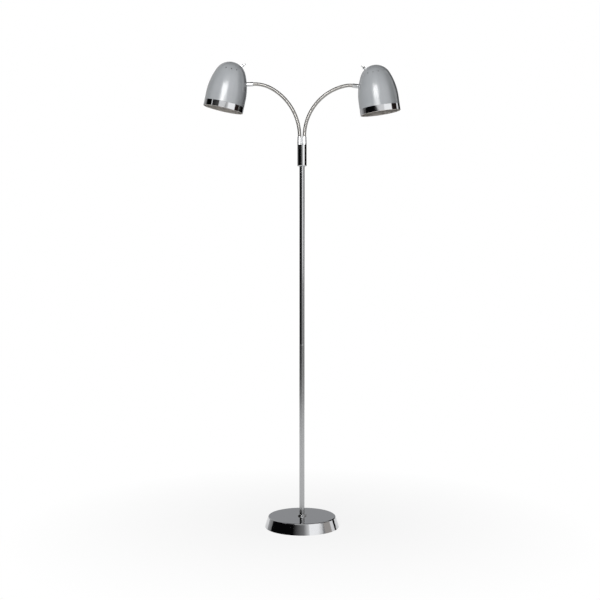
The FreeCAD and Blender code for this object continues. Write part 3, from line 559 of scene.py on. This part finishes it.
def make_line(name, neck):
    """Bezier line of the neck, with a straight run into each fitting."""
    stations = [-RUN_IN, 0.0, neck["lower_length"], NECK_LENGTH, NECK_LENGTH + RUN_IN]
    reach = [RUN_IN / 3]
    for radius, sweep in ((neck["radius"], neck["lower"]), (neck["upper_radius"], neck["upper"])):
        reach.append(radius * math.tan(sweep / 4) * 4 / 3)
    reach.append(RUN_IN / 3)
    data = bpy.data.curves.new(name, "CURVE")
    data.dimensions = "3D"
    data.resolution_u = 96
    data.use_deform_bounds = False
    line = data.splines.new("BEZIER")
    line.bezier_points.add(len(stations) - 1)
    for i, (knot, station) in enumerate(zip(line.bezier_points, stations)):
        place = neck_frame(neck, station)
        along = place.to_3x3() @ Vector((0, 0, MM))
        knot.handle_left_type = knot.handle_right_type = "FREE"
        knot.co = place.translation
        knot.handle_left = place.translation - along * reach[max(i - 1, 0)]
        knot.handle_right = place.translation + along * reach[min(i, len(reach) - 1)]
    piece = bpy.data.objects.new(name, data)
    bpy.context.scene.collection.objects.link(piece)
    return piece


# %% Winding
RIB = [(4.92, 0.0), (5.20, 0.26), (5.35, 0.62), (5.35, 1.78), (5.20, 2.14), (4.92, PITCH)]


def wound(name, start, turns):
    """A straight hose of this many turns that starts this far up the Z axis."""
    piece = drawn(name, [(radius, start + height) for radius, height in RIB])
    apply_modifier(piece, "SCREW", axis="Z", angle=2 * math.pi, screw_offset=PITCH * MM, iterations=turns,
                   steps=36, render_steps=36, use_smooth_shade=True, use_normal_calculate=True)
    alone(piece)
    bpy.ops.object.mode_set(mode="EDIT")
    bpy.ops.mesh.select_all(action="SELECT")
    bpy.ops.mesh.remove_doubles(threshold=0.004 * MM)
    bpy.ops.mesh.normals_make_consistent(inside=False)
    bpy.ops.object.mode_set(mode="OBJECT")
    return piece


def hose(name, line, first_turn, turns):
    """One bent length of neck; turns are counted from the neck's foot."""
    piece = wound(name, RUN_IN + first_turn * PITCH, turns)
    apply_modifier(piece, "CURVE", object=line, deform_axis="POS_Z")
    piece.data.materials.append(wound_steel)
    return piece


HALF = TURNS_PER_LINK // 2
HIDDEN = 3  # turns inside each ferrule
for side_name, neck in NECKS.items():
    line = make_line(f"{side_name}_line", neck)
    bodies = ["stand"] + [f"{side_name}_link_{i}" for i in range(2, NECK_LINKS)] + [f"{side_name}_head"]
    foot = hose(f"{side_name}_neck_foot", line, -HIDDEN, HIDDEN + HALF)
    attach(foot, bodies[0])
    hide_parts(f"{side_name}_neck_link_1")
    for joint in range(1, NECK_LINKS):
        bend = hose(f"{side_name}_neck_bend_{joint}", line, joint * TURNS_PER_LINK - HALF, TURNS_PER_LINK)
        near, far = (neck_frame(neck, joint * LINK_LENGTH + way * (LINK_LENGTH / 2 - PITCH)).translation
                     for way in (-1, 1))
        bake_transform(bend)
        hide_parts(f"{side_name}_neck_link_{joint + 1}")
    tip = hose(f"{side_name}_neck_tip", line, NECK_LINKS * TURNS_PER_LINK - HALF, HALF + HIDDEN)
    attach(tip, bodies[-1])
    middle = neck_frame(neck, 3 * LINK_LENGTH)
    across = [middle.inverted() @ v.co for v in bpy.data.objects[f"{side_name}_neck_bend_3"].data.vertices]
    radii = [math.hypot(*point.xy) / MM for point in across if abs(point.z) < PITCH / 2 * MM]
    print(side_name, "neck radius at its third joint", round(min(radii), 2), "to", round(max(radii), 2))
    bpy.data.objects.remove(line)

# %% [markdown]
# ## Trim bands
#
# The bright ring at each mouth is rolled from strip, plated outside and left dull inside, where
# nobody polishes it. The mouth edge is rolled round, and a narrow spigot plugs up into the shade.
# The dull inside is a second material, given to the faces whose middle is nearer the axis.

# %% Trim bands
BAND_HEIGHT, BAND_SPIGOT, SHADE_WALL, SEAT = 19.0, 8.0, 1.2, 0.05
SPIGOT_RADIUS = SHADE_RADIUS - SHADE_WALL - SEAT
BAND_BORE = SPIGOT_RADIUS - SHADE_WALL
band_profile = [
    (BAND_BORE, 0.6), *corner(BAND_BORE + 0.6, 0.6, 0.6, -180, -90, 3)[1:],
    *corner(SHADE_RADIUS - 1.0, 1.0, 1.0, -90, 0), (SHADE_RADIUS, BAND_HEIGHT),
    (SPIGOT_RADIUS, BAND_HEIGHT), (SPIGOT_RADIUS, BAND_HEIGHT + BAND_SPIGOT),
    (BAND_BORE, BAND_HEIGHT + BAND_SPIGOT),
]


def assign_inside(piece, reach_mm, material):
    """Give the faces whose middle is within this radius a second material."""
    alone(piece)
    piece.data.materials.append(material)
    piece.active_material_index = len(piece.data.materials) - 1
    for face in piece.data.polygons:
        face.select = math.hypot(*face.center.xy) < reach_mm * MM
    bpy.ops.object.mode_set(mode="EDIT")
    bpy.ops.object.material_slot_assign()
    bpy.ops.object.mode_set(mode="OBJECT")


for side_name, neck in NECKS.items():
    band = softened(turned(f"{side_name}_trim_band_rolled", band_profile, steps=160), 0.2)
    band.data.materials.append(plated_steel)
    assign_inside(band, BAND_BORE + 0.3, dull_plate)
    fit(band, f"{side_name}_trim_band", neck["head"])

# %% [markdown]
# ## Toggle switches
#
# A toggle switch stands on each crown: a threaded bushing comes up through the shade, a ring nut
# with knurled sides clamps it, and a slim steel lever with a rounded tip leans to one side. The
# thread is turned as a zigzag profile, and the knurl is made by insetting every other side face of
# the nut.

# %% Switch pieces
BUSHING_RADIUS, BUSHING_TOP, THREAD_PITCH, THREAD_DEPTH = 4.2, 8.0, 0.6, 0.28
thread = []
for turn in range(5):
    foot = 4.6 + turn * THREAD_PITCH
    thread += [(BUSHING_RADIUS - THREAD_DEPTH, foot), (BUSHING_RADIUS, foot + THREAD_PITCH / 2)]
bushing_profile = [
    (0, -3.24), (5.5, -3.24), (5.5, -1.8), (BUSHING_RADIUS - 0.1, -1.8), *thread, (3.9, BUSHING_TOP),
    (3.4, BUSHING_TOP), (2.45, 3.0), (2.45, 0.55), (0, 0.55),
]
nut_profile = [(4.25, 0.05), (5.5, 0.05), (5.5, 0.5), (5.5, 5.0), (4.95, 5.55), (4.25, 5.55)]
LEVER_RADIUS, LEVER_TIP, LEVER_BALL, LEVER_LENGTH = 1.2, 1.8, 2.4, 13.0
lever_profile = [
    *corner(0, 0, LEVER_BALL, -90, 55, 9), (1.22, 3.0), (LEVER_RADIUS, 4.4), (1.28, 6.6), (1.5, 9.0),
    *corner(0, LEVER_LENGTH - LEVER_TIP, LEVER_TIP, -10, 90, 7),
]


def knurl(piece, height_mm):
    """Sink every other side face of a turned ring a little."""
    alone(piece)
    least_area = 0.2 * height_mm * MM * 0.3 * MM
    sides = [f for f in piece.data.polygons
             if abs(f.normal.z) < 0.1 and f.area > least_area and f.normal.xy.dot(f.center.xy) > 0]
    sides.sort(key=lambda f: math.atan2(f.center.y, f.center.x))
    tall = [f for f in sides if f.area > 0.8 * max(g.area for g in sides)]
    chosen = {f.index for f in tall[::2]}
    for face in piece.data.polygons:
        face.select = face.index in chosen
    bpy.ops.object.mode_set(mode="EDIT")
    bpy.ops.mesh.inset(thickness=0.06 * MM, depth=-0.22 * MM, use_individual=True)
    bpy.ops.object.mode_set(mode="OBJECT")
    print(piece.name, "grooves:", len(chosen))


for side_name, neck in NECKS.items():
    bushing = turned(f"{side_name}_switch_bushing_threaded", bushing_profile, steps=48)
    fit(softened(bushing, 0), f"{side_name}_switch_bushing", neck["switch"], plated_brass)
    ring = turned(f"{side_name}_switch_nut_knurled", nut_profile, steps=64)
    knurl(ring, 4.5)
    fit(softened(ring, 0.08, 2), f"{side_name}_switch_nut", neck["switch"], plated_brass)
    lever = turned(f"{side_name}_switch_lever_turned", lever_profile, steps=32)
    thrown = neck["switch"] @ standing(LEVER_PIVOT) @ Matrix.Rotation(LEVER_THROW, 4, "Y")
    fit(softened(lever, 0), f"{side_name}_switch_lever", thrown, plated_brass)

# %% [markdown]
# ## Lamp holders and bulbs
#
# Seen from below, each shade holds a black lamp holder with a fluted skirt and a small round bulb
# of opal glass, hung cap upwards. The globe, its throat and the metal cap are one turned profile.

# %% Lamp holders and bulbs
BRACKET_TOP, BRACKET_STRIP, HOLDER_LENGTH = ARM_HEIGHT + 14.0, 1.5, 38.0
SOCKET_HEIGHT = BRACKET_TOP - BRACKET_STRIP - HOLDER_LENGTH
holder_profile = [
    (7.2, 0), (14.0, 0), (14.5, 0.6), (14.5, 13.2), (14.0, 14.0), (13.5, 14.4), (13.5, 32.0), (12.9, 33.6),
    (7.0, HOLDER_LENGTH), (5.0, HOLDER_LENGTH), (5.0, 45.0), (3.6, 45.0), (3.6, 26.0), (7.2, 26.0),
]
GLOBE_RADIUS, GLOBE_DROP = 22.5, 27.5
bulb_profile = [
    (0, -GLOBE_DROP - GLOBE_RADIUS), *corner(0, -GLOBE_DROP, GLOBE_RADIUS, -84, 48, 22),
    (13.3, -9.2), (11.7, -7.0), (10.0, -5.0), (8.6, -3.2), (7.6, -1.6), (7.0, -0.4),
    (7.0, 2.0), (6.5, 2.9), (7.0, 3.8), (6.5, 4.7), (7.0, 5.6), (6.5, 6.5), (7.0, 7.4), (6.5, 8.3),
    (7.0, 9.2),
    (6.2, 20.0), (3.0, 24.0), (0, 24.0),
]


def flute(piece, low_mm, high_mm):
    """Sink every other side face between two heights."""
    alone(piece)
    sides = [f for f in piece.data.polygons if low_mm * MM < f.center.z < high_mm * MM
             and abs(f.normal.z) < 0.1 and f.normal.xy.dot(f.center.xy) > 0]
    sides.sort(key=lambda f: math.atan2(f.center.y, f.center.x))
    chosen = {f.index for f in sides[::2]}
    for face in piece.data.polygons:
        face.select = face.index in chosen
    bpy.ops.object.mode_set(mode="EDIT")
    bpy.ops.mesh.inset(thickness=0.12 * MM, depth=-0.4 * MM, use_individual=True)
    bpy.ops.object.mode_set(mode="OBJECT")


for side_name, neck in NECKS.items():
    socket = neck["head"] @ standing(SOCKET_HEIGHT)
    holder = turned(f"{side_name}_lamp_holder_moulded", holder_profile, steps=72)
    flute(holder, 15.0, 31.0)
    fit(softened(holder, 0.3, 2), f"{side_name}_lamp_holder", socket, phenolic)
    bulb = turned(f"{side_name}_bulb_blown", bulb_profile, steps=64)
    bulb.data.materials.append(opal_glass)
    alone(bulb)
    bulb.data.materials.append(zinc)
    for face in bulb.data.polygons:
        face.select = face.center.z > -0.4 * MM
    bulb.active_material_index = 1
    bpy.ops.object.mode_set(mode="EDIT")
    bpy.ops.object.material_slot_assign()
    bpy.ops.object.mode_set(mode="OBJECT")
    fit(softened(bulb, 0), f"{side_name}_bulb", socket)

# %% [markdown]
# ## Nodes that stay
#
# The pressed cover of the foot, the shades and the fittings inside already have the right shape.
# They keep it and only take their finish.

# %% Dress the nodes that stay
for name, node in frame["nodes"].items():
    if node.hide_render:
        continue
    material = DRESS[SLOT_OF[name]]
    if name == "base_cover":
        material = plated_steel
    if material is None:
        neck = NECKS[name.split("_")[0]]
        middle = neck["head"] @ Vector((0, 0, 60 * MM))
        # The dark inside grey #4b4946 is painted shade, so that the vents show as dark holes.
        material = make_enamel(f"grey_stoving_enamel_{name}", "#9b9ea1", "#4b4946", tuple(middle))
    node.data.materials.clear()
    node.data.materials.append(material)
    print(name, "wears", material.name)

# %% [markdown]
# ## Studio
#
# A chrome lamp shows the room it stands in, so the room is built for it: a white sweep, one large
# softbox high at the front left with a soft fill beside it, a white reflector at the right, and
# dark flags between them that draw the bands down the metal. The cards are only seen by
# reflections. The widest plated pieces are shielded from the softbox, so they show the cards and
# not its hot reflection. The floor and the world are plain white to the camera and to reflections,
# and give less light than that to the object.

# %% Floor and world
WHITE_FLOOR = "#f4f4f4"
SWEEP_SIZE = 24.0
AMBIENT = 0.12
GLOW_NEAR, GLOW_FAR = 0.83, 1.0  # share of the floor's own white, by the lamp and away from it
GLOW_START, GLOW_END = 0.15, 0.9  # metres from the pole


def ray_is_seen(tree):
    """1 for rays that see the background: camera, glossy and transmission rays."""
    path = add(tree, "ShaderNodeLightPath", {})
    first = add(tree, "ShaderNodeMath", {
        0: path.outputs["Is Camera Ray"], 1: path.outputs["Is Glossy Ray"],
    }, operation="MAXIMUM")
    either = add(tree, "ShaderNodeMath", {
        0: first.outputs[0], 1: path.outputs["Is Transmission Ray"],
    }, operation="MAXIMUM")
    return either.outputs[0]


world = bpy.data.worlds.new("studio")
bpy.context.scene.world = world
world.use_nodes = True
tree = world.node_tree
tree.nodes.clear()
strength = between(tree, ray_is_seen(tree), AMBIENT, 1.0)
background = add(tree, "ShaderNodeBackground", {"Color": (1, 1, 1, 1), "Strength": strength})
world_output = tree.nodes.new("ShaderNodeOutputWorld")
tree.links.new(background.outputs[0], world_output.inputs["Surface"])

bpy.ops.object.select_all(action="DESELECT")
bpy.ops.mesh.primitive_plane_add(size=SWEEP_SIZE, location=(0, 0, 0))
floor = bpy.context.object
floor.name = "floor"
material, tree, output = new_material("white_paper_sweep")
paper = add(tree, "ShaderNodeBsdfDiffuse", {"Color": linear(WHITE_FLOOR)})
glow = add(tree, "ShaderNodeEmission", {"Color": (1, 1, 1, 1), "Strength": 1.0})
spot = add(tree, "ShaderNodeTexCoord", {})
reach = add(tree, "ShaderNodeVectorMath", {0: spot.outputs["Object"]}, operation="LENGTH")
share = between(tree, reach.outputs["Value"], GLOW_NEAR, GLOW_FAR, GLOW_START, GLOW_END)
share = add(tree, "ShaderNodeMath", {0: share, 1: ray_is_seen(tree)}, operation="MULTIPLY")
mixed = add(tree, "ShaderNodeMixShader", {0: share.outputs[0], 1: paper.outputs[0], 2: glow.outputs[0]})
tree.links.new(mixed.outputs[0], output.inputs["Surface"])
floor.data.materials.append(material)

# %% Flags
def only_reflected(card):
    """Keep a card of the studio out of everything but reflections."""
    for ray in ("camera", "diffuse", "transmission", "volume_scatter", "shadow"):
        setattr(card, f"visible_{ray}", False)


FLAG_RADIUS = 2.6
FLAG_STEP = 2.0  # degrees a panel's facet


def make_flag(name, near, far, start, end, low, high, glow_strength=1.0):
    """A curved card round the lamp, near at its first edge and far at its last.

    Angles are in degrees from the camera's side, positive to the right.
    """
    bpy.ops.object.select_all(action="DESELECT")
    bpy.ops.mesh.primitive_plane_add(size=1, location=(0, -FLAG_RADIUS, (low + high) / 2),
                                     rotation=(math.pi / 2, 0, 0))
    flag = bpy.context.object
    flag.name = name
    flag.scale = (0.001, high - low, 1)
    bpy.ops.object.transform_apply(location=True, rotation=True, scale=True)
    flag.rotation_euler = (0, 0, math.radians(start))
    bpy.ops.object.transform_apply(rotation=True)
    bpy.ops.object.mode_set(mode="EDIT")
    bpy.ops.mesh.select_all(action="SELECT")
    bpy.ops.mesh.spin(steps=max(2, int((end - start) / FLAG_STEP)), angle=-math.radians(end - start),
                      center=(0, 0, 0), axis=(0, 0, 1))
    bpy.ops.object.mode_set(mode="OBJECT")
    material, tree, output = new_material(f"{name}_card")
    place = add(tree, "ShaderNodeTexCoord", {})
    middle = math.radians((start + end) / 2)
    turn = add(tree, "ShaderNodeVectorRotate", {"Vector": place.outputs["Object"], "Angle": -middle},
               rotation_type="Z_AXIS")
    parts = add(tree, "ShaderNodeSeparateXYZ", {"Vector": turn.outputs["Vector"]})
    reach = FLAG_RADIUS * math.sin(math.radians(min(end - start, 178) / 2))
    across = between(tree, parts.outputs["X"], 0.0, 1.0, -reach, reach)
    glow = add(tree, "ShaderNodeEmission", {
        "Color": blended(tree, across, linear(near), linear(far)), "Strength": glow_strength,
    })
    tree.links.new(glow.outputs[0], output.inputs["Surface"])
    flag.data.materials.append(material)
    only_reflected(flag)
    return flag


TOP = 4.2
CEILING_GREY = "#4c4b4a"
FLAGS = {
    "left_low_flag": ("#0a0a0b", "#0a0a0b", -110, -28, 0.0, 1.45),
    "left_flag": ("#141415", "#5c5c5c", -66, -28, 1.45, TOP),
    "left_rear_flag": ("#0a0a0a", "#0a0a0a", -110, -71, 1.45, TOP),
    "left_back_card": ("#d8d8d8", "#8a8a8a", -156, -110, 0.0, TOP),
    "front_low_card": ("#101010", "#8c8c8c", -28, 6, 0.0, 1.45),
    "front_right_card": ("#8c8c8c", "#ffffff", 6, 24, 0.0, 1.45),
    "right_low_card": ("#8c8c8c", "#8c8c8c", 24, 76, 0.0, 0.7),
    "white_reflector": ("#ffffff", "#ffffff", 24, 67, 0.8, 3.0, 1.4),
    "right_flag": ("#2b2220", "#221a18", 68, 104, 0.75, TOP),
    "right_low_flag": ("#b9b4b0", "#b9b4b0", 76, 104, 0.0, 0.75),
    "right_gap_flag": ("#1a1a1b", "#1a1a1b", 104, 120, 0.95, 1.5),
    "right_rear_flag": ("#0c0c0c", "#0c0c0c", 120, 154, 0.0, TOP),
    "rear_card": ("#a2a3a5", "#a2a3a5", 154, 204, 0.0, TOP),
}
for name, settings in FLAGS.items():
    flag = make_flag(name, *settings)
    lo = [min(v.co[i] for v in flag.data.vertices) for i in range(3)]
    hi = [max(v.co[i] for v in flag.data.vertices) for i in range(3)]
    print(name, [round(v, 2) for v in lo], [round(v, 2) for v in hi])

bpy.ops.object.select_all(action="DESELECT")
bpy.ops.mesh.primitive_circle_add(vertices=64, radius=FLAG_RADIUS, fill_type="NGON", location=(0, 0, TOP))
ceiling = bpy.context.object
ceiling.name = "ceiling_card"
material, tree, output = new_material("ceiling_card")
glow = add(tree, "ShaderNodeEmission", {"Color": linear(CEILING_GREY), "Strength": 1.0})
tree.links.new(glow.outputs[0], output.inputs["Surface"])
ceiling.data.materials.append(material)
only_reflected(ceiling)


# %% Lamps
def make_softbox(name, angle, distance, height, width, tall, power, aim_height, glossy=True):
    data = bpy.data.lights.new(name, "AREA")
    data.shape = "RECTANGLE"
    data.size, data.size_y = width, tall
    data.energy = power
    box = bpy.data.objects.new(name, data)
    bpy.context.scene.collection.objects.link(box)
    turn = math.radians(angle)
    box.location = (distance * math.sin(turn), -distance * math.cos(turn), height)
    aim = Vector((0, 0, aim_height)) - box.location
    box.rotation_euler = aim.to_track_quat("-Z", "Y").to_euler()
    box.visible_camera = False
    box.visible_glossy = glossy
    return box


key = make_softbox("key_softbox", -12.5, 2.4, 2.05, 1.3, 1.15, 48, 1.2)
make_softbox("front_fill", -15, 2.6, 1.5, 1.0, 1.0, 24, 1.2, glossy=False)

# The key leaves these out.
shielded = bpy.data.collections.new("shielded_from_key")
for name in ("left_trim_band_rolled", "right_trim_band_rolled", "junction_sleeve_turned", "base_cover"):
    shielded.objects.link(bpy.data.objects[name])
for entry in shielded.collection_objects:
    entry.light_linking.link_state = "EXCLUDE"
key.light_linking.receiver_collection = shielded
